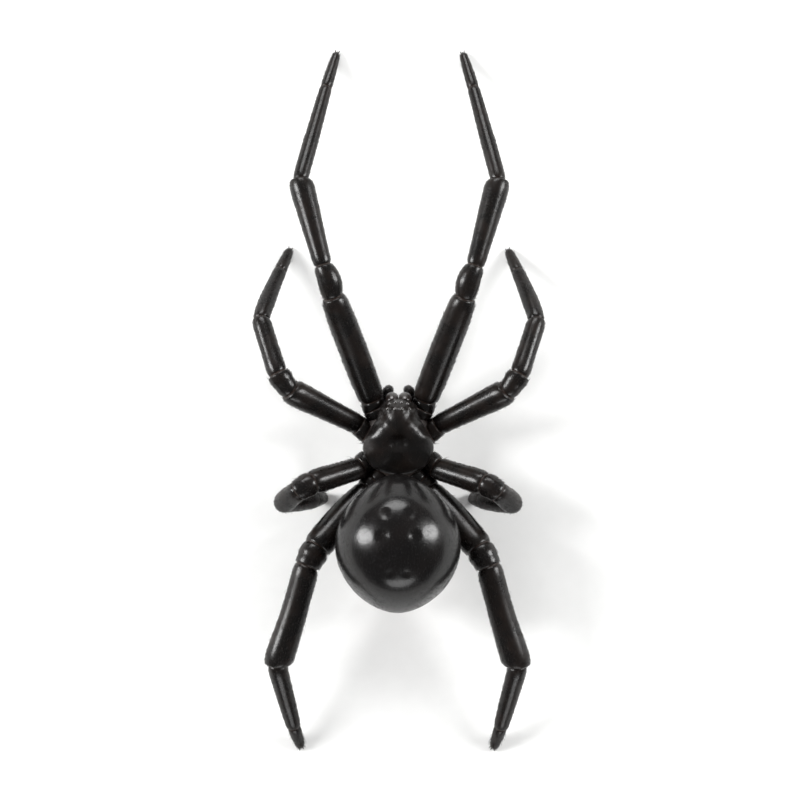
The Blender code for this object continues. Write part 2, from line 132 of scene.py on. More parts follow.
ROOM_LIGHT = 0.18
world = bpy.data.worlds.new("room")
world.use_nodes = True
world.node_tree.nodes["Background"].inputs["Color"].default_value = (0.98, 0.99, 1.0, 1)
world.node_tree.nodes["Background"].inputs["Strength"].default_value = ROOM_LIGHT
bpy.context.scene.world = world
bpy.context.scene.view_settings.view_transform = "Standard"


def plug(node, inputs):
    """Fills a node's sockets, each with a value or a wire."""
    for key, value in inputs.items():
        if isinstance(value, Wire):
            node.id_data.links.new(value.socket, node.inputs[key])
        else:
            node.inputs[key].default_value = value


class Wire:
    """A socket of a material's nodes. Arithmetic on it adds Math nodes."""

    def __init__(self, tree, socket=None):
        self.tree = tree
        self.socket = socket

    def node(self, kind, settings, inputs, output=0):
        """Adds any node: its settings first, then the values or wires of its sockets."""
        made = self.tree.nodes.new("ShaderNode" + kind)
        for key, value in settings.items():
            setattr(made, key, value)
        plug(made, inputs)
        return Wire(self.tree, made.outputs[output])

    def maths(self, operation, *values):
        return self.node("Math", {"operation": operation}, dict(enumerate(values)))

    def __add__(self, other):
        return self.maths("ADD", self, other)

    def __sub__(self, other):
        return self.maths("SUBTRACT", self, other)

    def __rsub__(self, other):
        return self.maths("SUBTRACT", other, self)

    def __mul__(self, other):
        return self.maths("MULTIPLY", self, other)

    def __truediv__(self, other):
        return self.maths("DIVIDE", self, other)

    def __pow__(self, other):
        return self.maths("POWER", self, other)

    __radd__ = __add__
    __rmul__ = __mul__

    def between(self, low, high):
        """0 below low, 1 above high and a soft step from one to the other."""
        sockets = {"Value": self, "From Min": low, "From Max": high}
        return self.node("MapRange", {"interpolation_type": "SMOOTHSTEP"}, sockets)

    def blend(self, under, over):
        """A colour that goes from under, where this value is 0, to over, where it is 1."""
        under, over = (c if isinstance(c, Wire) else (*c, 1) for c in (under, over))
        return self.node("Mix", {"data_type": "RGBA"}, {0: self, 6: under, 7: over}, output=2)

    def noise(self, size, detail=3.0):
        """Cloudy values about 0.5 whose blobs are about size across, in mm."""
        return self.node("TexNoise", {}, {"Vector": self, "Scale": 1 / (size * MM), "Detail": detail})

    def cells(self, size):
        """Distance from the middle of cells about size across, in mm, in shares of a cell."""
        return self.node("TexVoronoi", {}, {"Vector": self, "Scale": 1 / (size * MM)})

    def part(self, axis):
        """One coordinate of a place, in mm."""
        place = self.node("SeparateXYZ", {}, {0: self}, output="XYZ".index(axis))
        return place * (1 / MM)


def new_material(name):
    """A material, the wire of its places on the piece, and its shader."""
    made = bpy.data.materials.new(name)
    made.use_nodes = True
    tree = made.node_tree
    places = Wire(tree).node("TexCoord", {}, {}, output="Object")
    return made, places, tree.nodes["Principled BSDF"]


def feed(shader, **inputs):
    """Fills a shader's sockets, each named with _ for a space."""
    plug(shader, {name.replace("_", " "): value for name, value in inputs.items()})


def bumped(height, depth):
    """The normal of a surface raised by height, 0 to 1, times depth in mm."""
    return height.node("Bump", {}, {"Height": height, "Distance": depth * MM, "Strength": 1.0})


def card_material():
    """Matt white card with a faint grain."""
    made, places, shader = new_material("white_card")
    grain = places.noise(0.9, detail=5)
    feed(
        shader,
        Base_Color=grain.blend((0.86, 0.86, 0.85), (0.91, 0.91, 0.90)),
        Roughness=0.85,
        Specular_IOR_Level=0.2,
        Normal=bumped(grain, 0.01),
    )
    return made


card.data.materials.append(card_material())

# ---- The trunk ----
# Soft grey-brown skin, the flanks, holds the roots of the legs. Below it lies a hard plate
# shaped like a heart, the sternum, with the small lip and the two plates at the roots of the
# palps in front. The plates are black cuticle, and short hairs stand on the sternum.

SIDES = 32
LEAST_TURN = radians(0.05)


def drawn_out(name, rings, sides=SIDES):
    """A closed skin, drawn out of a disc ring by ring.

    Each ring is (middle, the way it faces, its radius). A radius is a number, or a Vector of
    the radii along X, Y and Z where the ring isn't round.
    """
    rings = [(middle, way.normalized(), size) for middle, way, size in rings]
    middle, way, size = rings[0]
    turn = way.to_track_quat("Z", "Y").to_euler()
    bpy.ops.object.select_all(action="DESELECT")
    bpy.ops.mesh.primitive_circle_add(
        vertices=sides, radius=1.0, fill_type="NGON", location=middle, rotation=turn
    )
    piece = active_mesh(name)
    bpy.ops.object.transform_apply(location=True, rotation=True, scale=True)
    with edited(piece):
        resize_to(Vector((1, 1, 1)), size, middle)
        for next_middle, next_way, next_size in rings[1:]:
            step = next_middle - middle
            bpy.ops.mesh.extrude_region_move(TRANSFORM_OT_translate={"value": step})
            turn = way.rotation_difference(next_way).to_euler()
            for axis, angle in zip("XYZ", turn):
                if abs(angle) > LEAST_TURN:
                    bpy.ops.transform.rotate(
                        value=-angle, orient_axis=axis, orient_type="GLOBAL", center_override=next_middle
                    )
            resize_to(size, next_size, next_middle)
            middle, way, size = next_middle, next_way, next_size
        bpy.ops.mesh.select_all(action="SELECT")
        bpy.ops.mesh.normals_make_consistent(inside=False)
    return piece


def resize_to(old, new, middle):
    """Scales what is selected from one radius to the next about a point."""
    old, new = (s if isinstance(s, Vector) else Vector((s, s, s)) for s in (old, new))
    share = [b / a if a > 0 else 1.0 for a, b in zip(old, new)]
    bpy.ops.transform.resize(value=share, center_override=middle)


def through(knots, count):
    """count rings on the smooth curve through knots of (middle, radius), in mm."""
    columns = np.array([[*middle, radius] for middle, radius in knots], dtype=float)
    ends = np.vstack([2 * columns[0] - columns[1], columns, 2 * columns[-1] - columns[-2]])
    lengths = np.linalg.norm(np.diff(columns[:, :3], axis=0), axis=1)
    reach = np.concatenate([[0], np.cumsum(lengths)])
    curve = []
    for along in np.linspace(0, reach[-1], count):
        i = min(int(np.searchsorted(reach, along, side="right")) - 1, len(columns) - 2)
        t = (along - reach[i]) / lengths[i]
        a, b, c, d = ends[i : i + 4]
        curve.append(
            0.5 * (2 * b + (c - a) * t + (2 * a - 5 * b + 4 * c - d) * t**2)
            + 0.5 * (3 * b - a - 3 * c + d) * t**3
        )
    middles = [Vector(row[:3]) * MM for row in curve]
    sizes = [float(row[3]) * MM for row in curve]
    before = middles[:1] + middles
    after = middles[1:] + middles[-1:]
    return list(zip(middles, [b - a for a, b in zip(before, after)], sizes))


def places_of(piece):
    """The places of a piece's corners."""
    return np.array([vert.co for vert in piece.data.vertices])


def in_order(piece):
    """Lists corners and faces by their place, as the operators list them at random."""
    mesh = piece.data
    places = places_of(piece)
    order = np.lexsort(places.T)
    rank = np.argsort(order)
    faces = []
    for face in mesh.polygons:
        corners = rank[list(face.vertices)].tolist()
        first = corners.index(min(corners))
        faces.append(corners[first:] + corners[:first])
    mesh.clear_geometry()
    mesh.from_pydata(places[order].tolist(), [], sorted(faces))


def modified(piece, kind, **settings):
    """Puts a modifier on a piece and applies it."""
    alone(piece)
    modifier = piece.modifiers.new(kind, kind)
    for key, value in settings.items():
        setattr(modifier, key, value)
    bpy.ops.object.modifier_apply(modifier=modifier.name)


def smoothed(piece, levels=1):
    """Subdivides a piece, if levels isn't 0, and shades it smooth."""
    in_order(piece)
    alone(piece)
    if levels:
        modified(piece, "SUBSURF", levels=levels, render_levels=levels)
    bpy.ops.object.shade_smooth()
    return piece


def dress(piece, look, slot, *stands_for):
    """Gives a finished piece its material and its place in the model."""
    piece.data.materials.clear()
    piece.data.materials.append(look)
    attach(piece, "root")
    if stands_for:
        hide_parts(*stands_for)


def mirrored_copy(left):
    """The same piece for the spider's right side, with its own mesh."""
    alone(left)
    bpy.ops.object.duplicate()
    right = active_mesh(left.name.replace("left", "right"))
    with edited(right):
        bpy.ops.transform.mirror(constraint_axis=(True, False, False), center_override=(0, 0, 0))
        bpy.ops.mesh.normals_make_consistent(inside=False)
    return right


def dress_both(left, look, slot, *stands_for):
    """Dresses a left piece and its mirrored copy. stands_for names the left nodes."""
    right = mirrored_copy(left)
    dress(right, look, slot, *(node.replace("left", "right") for node in stands_for))
    dress(left, look, slot, *stands_for)


def lacquered(shader, coat, coat_roughness, ior=1.45, mirror=0.28):
    """Sets the clear outer layer of a cuticle and how strongly the skin under it mirrors."""
    feed(shader, Coat_Weight=coat, Coat_Roughness=coat_roughness, IOR=ior, Specular_IOR_Level=mirror)


BLACK = (0.0045, 0.0040, 0.0038)
BROWN_BLACK = (0.012, 0.0070, 0.0050)
SOFT_SKIN = (0.022, 0.013, 0.0095)


def plate_material(name, worn, gloss, pitted=0.10):
    """Hard black cuticle: fine scales, pits where the hairs stand, and a browner bloom."""
    made, places, shader = new_material(name)
    bloom = places.noise(1.1, detail=4).between(0.35, 0.75)
    scales = 1 - places.cells(0.035)
    pits = places.cells(pitted).between(0.10, 0.32)
    ripple = places.noise(0.16, detail=2)
    feed(
        shader,
        Base_Color=(bloom * 0.55).blend(BLACK, worn),
        Roughness=gloss + bloom * 0.10 + ripple * 0.06,
        Normal=bumped(scales * 0.25 + pits * 0.5 + ripple * 0.5, 0.006),
    )
    lacquered(shader, 0.10, 0.12)
    return made


def soft_material():
    """Soft folded skin between the plates."""
    made, places, shader = new_material("soft_skin")
    folds = places.noise(0.09, detail=4)
    feed(
        shader,
        Base_Color=folds.between(0.3, 0.7).blend(BROWN_BLACK, SOFT_SKIN),
        Roughness=0.45 + folds * 0.2,
        Normal=bumped(folds, 0.03),
    )
    return made


# Rings along the body: place along it, half width and half height, in mm.
FLANKS = (
    (0.30, 0.40, 0.40),
    (0.55, 0.72, 0.55),
    (0.86, 1.26, 0.58),
    (1.14, 1.66, 0.60),
    (1.60, 1.66, 0.64),
    (2.50, 1.58, 0.66),
    (3.30, 1.46, 0.62),
    (3.85, 1.26, 0.54),
    (4.20, 0.80, 0.40),
    (4.34, 0.30, 0.20),
)
FLANK_HEIGHT = 2.12
STERNUM = (
    (0.98, 0.36, 0.10),
    (1.04, 0.60, 0.20),
    (1.18, 0.76, 0.28),
    (1.50, 0.90, 0.34),
    (2.00, 0.97, 0.37),
    (2.60, 0.90, 0.37),
    (3.20, 0.64, 0.33),
    (3.70, 0.34, 0.26),
    (3.94, 0.15, 0.16),
    (4.00, 0.05, 0.06),
)
STERNUM_HEIGHT = 1.65
AS_IT_IS = 1.0  # the radius of a ring along the way it faces, which has none


def along_body(knots, height):
    """Rings across the body from (y, half width, half height) knots, in mm."""
    return [
        (mm(0, y, height), Vector((0, 1, 0)), Vector((wide * MM, AS_IT_IS, tall * MM)))
        for y, wide, tall in knots
    ]


flanks = smoothed(drawn_out("flanks", along_body(FLANKS, FLANK_HEIGHT)), 2)
dress(flanks, soft_material(), "underside_cuticle")

plate = plate_material("sternum_plate", BROWN_BLACK, 0.34)
sternum = smoothed(drawn_out("sternum_plate", along_body(STERNUM, STERNUM_HEIGHT)), 2)
dress(sternum, plate, "underside_cuticle", "sternum")

CUT = 1e-7  # what lies this near a cutting plane, in metres, is on it
SLANT = np.array((1.0, 0.618, 0.414))  # a way along which hardly two triangles lie level
HAIR_SINK = 0.012 * MM
HAIR_TURN = radians(11)  # how far hairs turn away from their path
HAIR_SIZES = (0.7, 1.25)  # the shortest and the longest, as shares of the length
HAIR_RISES = (0.7, 1.3)  # the flattest and the steepest, as shares of the lift
HAIR_BEND = 0.35  # the share of its rise that a hair keeps in its end
HAIR_RINGS = ((0.0, 1.0), (0.5, 0.72))  # (share of the length, share of the thickness)
HAIR_FACES = [(2, 1, 0)]
for i, j in ((0, 1), (1, 2), (2, 0)):
    HAIR_FACES += [(i, j, 3 + j), (i, 3 + j, 3 + i), (3 + i, 3 + j, 6)]
# A hair's corners on its patch of the map of its skin, and half the side of the patch.
HAIR_PATCH = ((-1, -1), (1, -1), (0, -1), (-1, 0), (1, 0), (0, 0), (0, 1))
PATCH = 0.0015
NO_LENGTH = 1e-18  # the square of a length, in metres, that counts as none
NUDGE = 1e-6  # gives a hair a way to lie where its path runs straight into the skin


def unit(vectors):
    return vectors / np.linalg.norm(vectors, axis=1)[:, None]


def off_path(places, path):
    """How far places lie off each stretch of a path, and how far down it, as a share."""
    lines = np.diff(path, axis=0)
    away = places[:, None] - path[:-1]
    share = np.clip((away * lines).sum(2) / np.maximum((lines**2).sum(1), NO_LENGTH), 0, 1)
    return np.linalg.norm(away - share[..., None] * lines, axis=2), share


def down_path(places, path):
    """Where places lie along a path and round it, in shares, and which way it runs there."""
    lines = np.diff(path, axis=0)
    lengths = np.linalg.norm(lines, axis=1)
    reach = np.concatenate([[0], np.cumsum(lengths)])
    gaps, share = off_path(places, path)
    nearest = gaps.argmin(1)
    share = share[np.arange(len(places)), nearest]
    along = (reach[nearest] + share * lengths[nearest]) / reach[-1]
    ahead = lines[nearest] / lengths[nearest, None]
    across = unit(np.cross(ahead, (0, 0, 1)))
    off = places - path[nearest]
    around = np.arctan2((off * np.cross(across, ahead)).sum(1), (off * across).sum(1))
    return along, around / (2 * pi) + 0.5, ahead


def triangles_of(skin):
    """The three corners of every triangle of a skin, listed alike on every run."""
    mesh = skin.data
    mesh.calc_loop_triangles()
    corners = places_of(skin)[[triangle.vertices[:] for triangle in mesh.loop_triangles]]
    first = (corners @ SLANT).argmin(1)[:, None]
    corners = np.take_along_axis(corners, ((first + np.arange(3)) % 3)[..., None], axis=1)
    return corners[np.argsort((corners @ SLANT).sum(1))].transpose(1, 0, 2)


def hairs(name, skin, path, count, length, thick=0.014, lift=18, where=((0, 1), (1, 1)), keep=None):
    """Short hairs that grow all over a skin and lie along a path through it.

    length is (at the start, at the end) of the path and thick the width at the root, in mm, and
    lift is in degrees. where gives how close they stand at shares of the path. keep says of
    every triangle's middle whether hairs stand there.
    """
    draw = np.random.default_rng(sum(map(ord, name)))
    a, b, c = triangles_of(skin)
    normals = np.cross(b - a, c - a)
    middles = (a + b + c) / 3
    share = down_path(middles, path)[0]
    weight = np.linalg.norm(normals, axis=1) * np.interp(share, *zip(*where))
    if keep:
        weight *= keep(middles / MM)
    picked = draw.choice(len(weight), count, p=weight / weight.sum())
    u, v = draw.random((2, count, 1))
    u, v = np.where(u + v > 1, 1 - u, u), np.where(u + v > 1, 1 - v, v)
    roots = a[picked] + (b - a)[picked] * u + (c - a)[picked] * v
    out = unit(normals[picked])
    along, around, ahead = down_path(roots, path)
    level = unit(ahead - out * (ahead * out).sum(1)[:, None] + NUDGE)
    side = np.cross(out, level)
    turn = draw.normal(0, HAIR_TURN, (count, 1))
    flat = level * np.cos(turn) + side * np.sin(turn)
    across = side * np.cos(turn) - level * np.sin(turn)
    size = np.interp(along, (0, 1), length)[:, None] * MM * draw.uniform(*HAIR_SIZES, (count, 1))
    rise = np.radians(lift) * draw.uniform(*HAIR_RISES, (count, 1))
    first = flat * np.cos(rise) + out * np.sin(rise)
    last = flat * np.cos(rise * HAIR_BEND) + out * np.sin(rise * HAIR_BEND)
    up = np.cross(first, across)
    points = []
    for reach, width in HAIR_RINGS:
        middle = roots - out * HAIR_SINK + first * size * reach
        for angle in (0, 2 * pi / 3, 4 * pi / 3):
            spoke = across * cos(angle) + up * sin(angle)
            points.append(middle + spoke * thick / 2 * MM * width)
    points.append(middle + last * size * (1 - HAIR_RINGS[-1][0]))
    corners = np.stack(points, axis=1)
    corners[..., 2] = np.maximum(corners[..., 2], CUT)  # none goes through the floor
    rows = len(points) * np.arange(count)[:, None, None]
    faces = (np.array(HAIR_FACES) + rows).reshape(-1, 3)
    made = bpy.data.meshes.new(name)
    made.from_pydata(corners.reshape(-1, 3).tolist(), [], faces.tolist())
    place = np.clip(np.stack([along, around], axis=1), PATCH, 1 - PATCH)
    layout = (place[:, None] + np.array(HAIR_PATCH) * PATCH).reshape(-1, 2)[faces.ravel()]
    made.uv_layers.new(name="OFBake").data.foreach_set("uv", layout.ravel())
    made.polygons.foreach_set("use_smooth", [True] * len(faces))
    piece = bpy.data.objects.new(name, made)
    bpy.context.scene.collection.objects.link(piece)
    return piece


def hair_cloud(places):
    """Where hairs turn a little browner."""
    return places.noise(0.3).between(0.35, 0.7)


def hair_material(name, colour, other, share=hair_cloud):
    """Fine stiff hairs of one colour that turn to another where a share of places says so."""
    made, places, shader = new_material(name)
    feed(
        shader,
        Base_Color=share(places).blend(colour, other),
        Roughness=0.34 + places.noise(0.8) * 0.15,
        Specular_IOR_Level=0.28,
    )
    return made


def straight(y_start, y_end, height, slope=0.0):
    """A straight path along the body, in mm."""
    return np.array([(0, y_start, height), (0, y_end, height + slope)]) * MM


HAIR_BLACK = (0.006, 0.0045, 0.004)
hair_look = hair_material("hair_black", HAIR_BLACK, (0.016, 0.010, 0.007))
sternum_hairs = hairs(
    "hairs_sternum", sternum, straight(0.9, 4.1, STERNUM_HEIGHT), 900, (0.16, 0.14), lift=30,
    keep=lambda place: place[:, 2] < 1.55,
)
dress(sternum_hairs, hair_look, "underside_cuticle")

LABIUM = (
    ((0, 1.16, 1.58), 0.30),
    ((0, 0.98, 1.52), 0.31),
    ((0, 0.84, 1.47), 0.26),
    ((0, 0.74, 1.44), 0.14),
    ((0, 0.71, 1.43), 0.03),
)
labium = smoothed(drawn_out("labium", through(LABIUM, 12), 24))
dress(labium, plate, "underside_cuticle")

# The plate at the root of each palp leans in over the lip.
ENDITE = (
    ((0.56, 1.06, 1.50), 0.17),
    ((0.50, 0.86, 1.36), 0.24),
    ((0.38, 0.62, 1.30), 0.22),
    ((0.26, 0.44, 1.30), 0.15),
    ((0.20, 0.37, 1.31), 0.04),
)
endite = smoothed(drawn_out("endite_left", through(ENDITE, 14), 24))
dress_both(endite, plate, "underside_cuticle")

# ---- The legs ----
# Each leg is a chain of six hard tubes, black and glossy, from the coxa at the body to the
# tarsus on the floor. Rings of softer brown skin join them at the bottom of narrow grooves, and
# one hairy skin covers the whole leg. Every foot ends in two claws and a smaller hook.

LEG_PIECES = ("coxa", "femur", "patella", "tibia", "metatarsus", "tarsus")
# Where each left leg leaves the trunk, its bend at the trochanter, in mm, and how much fuller
# coxa and trochanter are than their solids, which keep clear of each other.
LEG_ROOTS = {
    1: ((0.80, 1.12, 1.90), (1.34, 0.48, 1.93), (1.36, 1.20)),
    2: ((0.95, 2.00, 1.90), (1.76, 1.79, 1.94), (1.32, 1.08)),
    3: ((0.95, 2.84, 1.90), (1.62, 3.22, 1.94), (1.36, 1.30)),
    4: ((0.62, 3.86, 1.84), (1.24, 4.42, 1.76), (1.46, 1.40)),
}
FOOT_TIPS = {
    1: (3.53, -18.94, 0.15),
    2: (6.09, -8.13, 0.15),
    3: (4.18, 5.39, 0.29),
    4: (5.37, 18.94, 0.15),
}
SEAM = 0.20 * MM  # the gap between two solids of the frame
SEAM_SLACK = 1.3  # two faces this many gaps apart still face each other
FACING = 0.95  # the least cosine of the angle between such a face's normal and the way across
RAYS = 24  # how many ways a section is measured
STATION = 0.55 * MM  # spacing of the rings along a tube
FILL_OUT = 1.035  # what facets and subdivision take off a round skin
COXA_SHARES = ((0.45, 0.6, 0.75), (0.5,))  # where coxa and trochanter are measured
COXA_RAY = RAYS * 3 // 4  # which of the reaches found there, from short to long, is the radius
ROOT_SHARE = 0.9  # a leg's radius inside the trunk, as a share of its first one outside
# Rings of a joint: distance from its middle in mm, and share of its depth reached there. The
# tube ends in a round shoulder, and a narrow soft ring lies at the bottom of the joint.
JOINT_RINGS = ((0.50, 0.0), (0.34, 0.07), (0.21, 0.21), (0.11, 0.42), (0.05, 0.64), (0.02, 1.0))
# How deep each joint is pinched in, as a share of the radius, from the trochanter outwards.
JOINT_DEPTHS = (0.10, 0.10, 0.20, 0.19, 0.22, 0.14)
WIDE_TUBE = 0.62 * MM  # the radius for which the joint rings are given
MOST_LEAN = radians(50)
SHOULDER_ROOM = 1.25  # a tube's own rings keep this many shoulders away from a joint
MOST_ROOM = 0.38  # as a share of the tube's length
MOST_REACH = 0.85  # how much of the way to a tube's last ring its shoulder may take
END_INSET = 0.16 * MM  # how far inside a tube's end its radius at the joint is measured
SOFT_REACH = 0.05 * MM
DOME_STEPS = 4


def measured(piece):
    """A piece's skin, ready to be measured."""
    return BVHTree.FromPolygons(places_of(piece).tolist(), [face.vertices for face in piece.data.polygons])


def joint_between(inner, outer):
    """Middle and direction of the joint where two solids face each other."""
    middles, ways = [], []
    for near, far, sign in ((inner, outer, 1), (outer, inner, -1)):
        tree = measured(nodes[far])
        middle, way, area = Vector(), Vector(), 0.0
        for face in nodes[near].data.polygons:
            hit, _, _, gap = tree.find_nearest(face.center)
            facing = (hit - face.center).normalized().dot(face.normal)
            if gap < SEAM_SLACK * SEAM and facing > FACING:
                middle += face.center * face.area
                way += face.normal * face.area
                area += face.area
        way.normalize()
        middles.append(middle / area + way * SEAM / 2)
        ways.append(way * sign)
    return (middles[0] + middles[1]) / 2, (ways[0] + ways[1]).normalized()


def spokes(way):
    """Ways out from an axis, all round it."""
    side = way.orthogonal().normalized()
    over = way.cross(side).normalized()
    turns = [2 * pi * i / RAYS for i in range(RAYS)]
    return [side * cos(turn) + over * sin(turn) for turn in turns]


def section(tree, middle, way):
    """Middle and mean radius of a solid's section at a point inside it, square to way."""
    ways = spokes(way)
    for _ in range(3):
        hits = [hit for hit in (tree.ray_cast(middle, spoke)[0] for spoke in ways) if hit]
        middle = sum(hits, Vector()) / len(hits)
    return middle, sum((hit - middle).length for hit in hits) / len(hits) * FILL_OUT


def shoulder(radius, joint_way, tube_way):
    """How far from the middle of a joint a tube's round shoulder ends.

    The tubes of a bent joint stay clear of each other on the inner side of the bend.
    """
    lean = min(joint_way.angle(tube_way), MOST_LEAN)
    return max(JOINT_RINGS[0][0] * MM * min(radius / WIDE_TUBE, 1), radius * tan(lean))


def tube_rings(tree, start, end, start_way, end_way, closed=False):
    """Rings along one hard tube between the shoulders of its two joints, and its end radii."""
    line = end - start
    way = line.normalized()
    radius = section(tree, (start + end) / 2, way)[1]
    gaps, radii = [], []
    for place, facing, inwards in ((start, start_way, way), (end, end_way, -way)):
        lean = min(facing.angle(way), MOST_LEAN)
        gaps.append(min(shoulder(radius, facing, way) * SHOULDER_ROOM, line.length * MOST_ROOM))
        near = min(radius * tan(lean) + END_INSET, gaps[-1])
        radii.append(section(tree, place + inwards * near, way)[1])
    if closed:
        gaps[1] = 0.0
    count = max(ceil((line.length - sum(gaps)) / STATION), 2)
    rings = []
    for i in range(count + 1):
        along = gaps[0] + (line.length - sum(gaps)) * i / count
        middle, radius = section(tree, start + way * along, way)
        rings.append((middle, way, radius))
    return rings, radii


def coxa_rings(tree, root, bend, hip, fills):
    """Rings along the bent root of a leg, before and after its trochanter joint."""
    halves = []
    for start, end, shares, fill in zip((root, bend), (bend, hip), COXA_SHARES, fills):
        way = (end - start).normalized()
        rings = []
        for share in shares:
            place = start.lerp(end, share)
            reach = sorted(tree.ray_cast(place, spoke)[3] for spoke in spokes(way))
            rings.append((place, way, reach[COXA_RAY] * fill))
        halves.append((rings, (rings[0][2], rings[-1][2])))
    rings = halves[0][0]
    rings.insert(0, (root, rings[0][1], rings[0][2] * ROOT_SHARE))
    return halves


def joint_ring_set(middle, way, before, after, depth):
    """The rings of a joint from one tube's shoulder, over the soft ring, to the next's.

    A tube is given by its last ring and its radius at the joint. In a bent joint the rings
    swell outwards, as both tubes reach the corner of the bend.
    """
    rings = []
    narrow = min(before[1], after[1]) * (1 - depth)
    ways = before[0][1], after[0][1]
    outwards = (ways[0] - ways[1]).normalized()
    swell = 1 / cos(min(ways[0].angle(ways[1]) / 2, MOST_LEAN)) - 1
    for tube, steps in ((before, JOINT_RINGS), (after, JOINT_RINGS[::-1])):
        (tube_middle, tube_way, radius), end_radius = tube
        line = tube_middle - middle
        reach = min(shoulder(radius, way, tube_way), MOST_REACH * line.length)
        for away, share in steps:
            along = away / JOINT_RINGS[0][0]
            size = end_radius + (radius - end_radius) * along
            place = middle + line.normalized() * along * reach
            place += outwards * size * swell / 2 * (1 - along)
            size = narrow if share == 1 else size * (1 - depth * share)
            size *= 1 + swell / 2 * (1 - along)
            rings.append((place, way.lerp(tube_way, along).normalized(), size))
    return rings


def rounded_end(middle, way, size, last=0.06):
    """The rings that close a skin with a dome beyond its last ring."""
    way = way.normalized()
    angles = [pi / 2 * (i + 1) / DOME_STEPS for i in range(DOME_STEPS)]
    return [(middle + way * size * sin(a), way, size * max(cos(a), last)) for a in angles]


def leg_rings(number, names):
    """All rings of a left leg from the trunk to the tip of its foot, and its joints."""
    root, bend, fills = LEG_ROOTS[number]
    root, bend = mm(*root), mm(*bend)
    tip = mm(*FOOT_TIPS[number])
    joints = [joint_between(a, b) for a, b in zip(names, names[1:])]
    hip = joints[0][0]
    tubes = coxa_rings(measured(nodes[names[0]]), root, bend, hip, fills)
    joints.insert(0, (bend, ((bend - root).normalized() + (hip - bend).normalized()).normalized()))
    ends = joints[1:] + [(tip, (tip - joints[-1][0]).normalized())]
    for name, (start, start_way), (end, end_way) in zip(names[1:], ends, ends[1:]):
        tree = measured(nodes[name])
        tubes.append(tube_rings(tree, start, end, start_way, end_way, closed=end is tip))

    rings = list(tubes[0][0])
    for (middle, way), before, after, depth in zip(joints, tubes, tubes[1:], JOINT_DEPTHS):
        ends = (before[0][-1], before[1][1]), (after[0][0], after[1][0])
        rings += joint_ring_set(middle, way, *ends, depth)
        rings += after[0]
    rings += rounded_end(*rings[-1], last=0.12)
    return rings, joints


def spine(rings):
    """The path through the middles of rings."""
    return np.array([middle for middle, way, size in rings])


def cut_level(piece, height):
    """Cuts off what lies below a height and closes the cut, with all its corners just level."""
    plane = {"plane_co": (0, 0, height), "plane_no": (0, 0, 1), "threshold": CUT}
    with edited(piece):
        bpy.ops.mesh.bisect(**plane, clear_inner=True, use_fill=True)
    for vert in piece.data.vertices:
        if abs(vert.co.z - height) < CUT:
            vert.co.z = height


def mark_soft(piece, joints, radius=0.9 * MM):
    """Notes on each corner how far it lies in the soft skin of a joint, from 0 to 1."""
    places = places_of(piece)
    soft_share = np.zeros(len(places))
    for middle, way in joints:
        away = places - np.array(middle)
        along = np.abs(away @ np.array(way))
        near = np.linalg.norm(away, axis=1) < radius
        share = np.clip((SOFT_REACH - along) / (0.5 * SOFT_REACH), 0, 1)
        soft_share = np.maximum(soft_share, share * near)
    attribute = piece.data.attributes.new("soft", "FLOAT", "POINT")
    attribute.data.foreach_set("value", soft_share)


def leg_material():
    """Black glossy tubes with browner soft rings, lightly rippled and pitted by hairs."""
    made, places, shader = new_material("leg_cuticle")
    bloom = places.noise(0.9, detail=4).between(0.35, 0.75)
    ripple = places.noise(0.13, detail=3)
    scales = 1 - places.cells(0.03)
    pits = places.cells(0.09).between(0.12, 0.30)
    joint = places.node("Attribute", {"attribute_name": "soft"}, {}, output="Fac")
    hard = (bloom * 0.6).blend(BLACK, BROWN_BLACK)
    feed(
        shader,
        Base_Color=joint.blend(hard, SOFT_SKIN),
        Roughness=0.22 + bloom * 0.08 + ripple * 0.08 + joint * 0.2,
        Normal=bumped(scales * 0.2 + pits * 0.35 + ripple * 0.5, 0.005),
    )
    lacquered(shader, 0.08, 0.14)
    return made


# Claws of a foot: place off its middle, length, in mm.
CLAWS = ((0.07, 0.24), (-0.07, 0.24), (0.0, 0.15))
CLAW_TAPER = ((0.0, 0.040), (0.35, 0.033), (0.7, 0.020), (1.0, 0.005))  # (share, radius)
CLAW_SINK = 0.05
CLAW_HEIGHT = 0.14
CLAW_CURL = 1.4  # how far a claw bends down, in radians
CLAW_DROP = 0.12


def claw_set(tip, way, radius):
    """Two curved claws and the small hook between them, at the tip of a left foot."""
    ahead = Vector((way.x, way.y, 0)).normalized()
    side = Vector((-ahead.y, ahead.x, 0))
    flat = Vector((way.x, way.y, 0)).length  # a steep foot hides its claws under itself
    start = tip / MM + ahead * (radius / MM - CLAW_SINK) * flat
    start.z = CLAW_HEIGHT
    claws = []
    for off, length in CLAWS:
        knots = []
        for share, thick in CLAW_TAPER:
            bend = share * CLAW_CURL
            place = start + side * off * (1 + share) + ahead * sin(bend) * length * flat
            place.z -= (1 - cos(bend)) * CLAW_DROP
            knots.append((place, thick))
        claws.append(drawn_out("claw", through(knots, 9), 10))
    return claws


def joined(pieces, name):
    """Several meshes as one piece."""
    alone(pieces[0])
    for piece in pieces:
        piece.select_set(True)
    bpy.ops.object.join()
    return active_mesh(name)


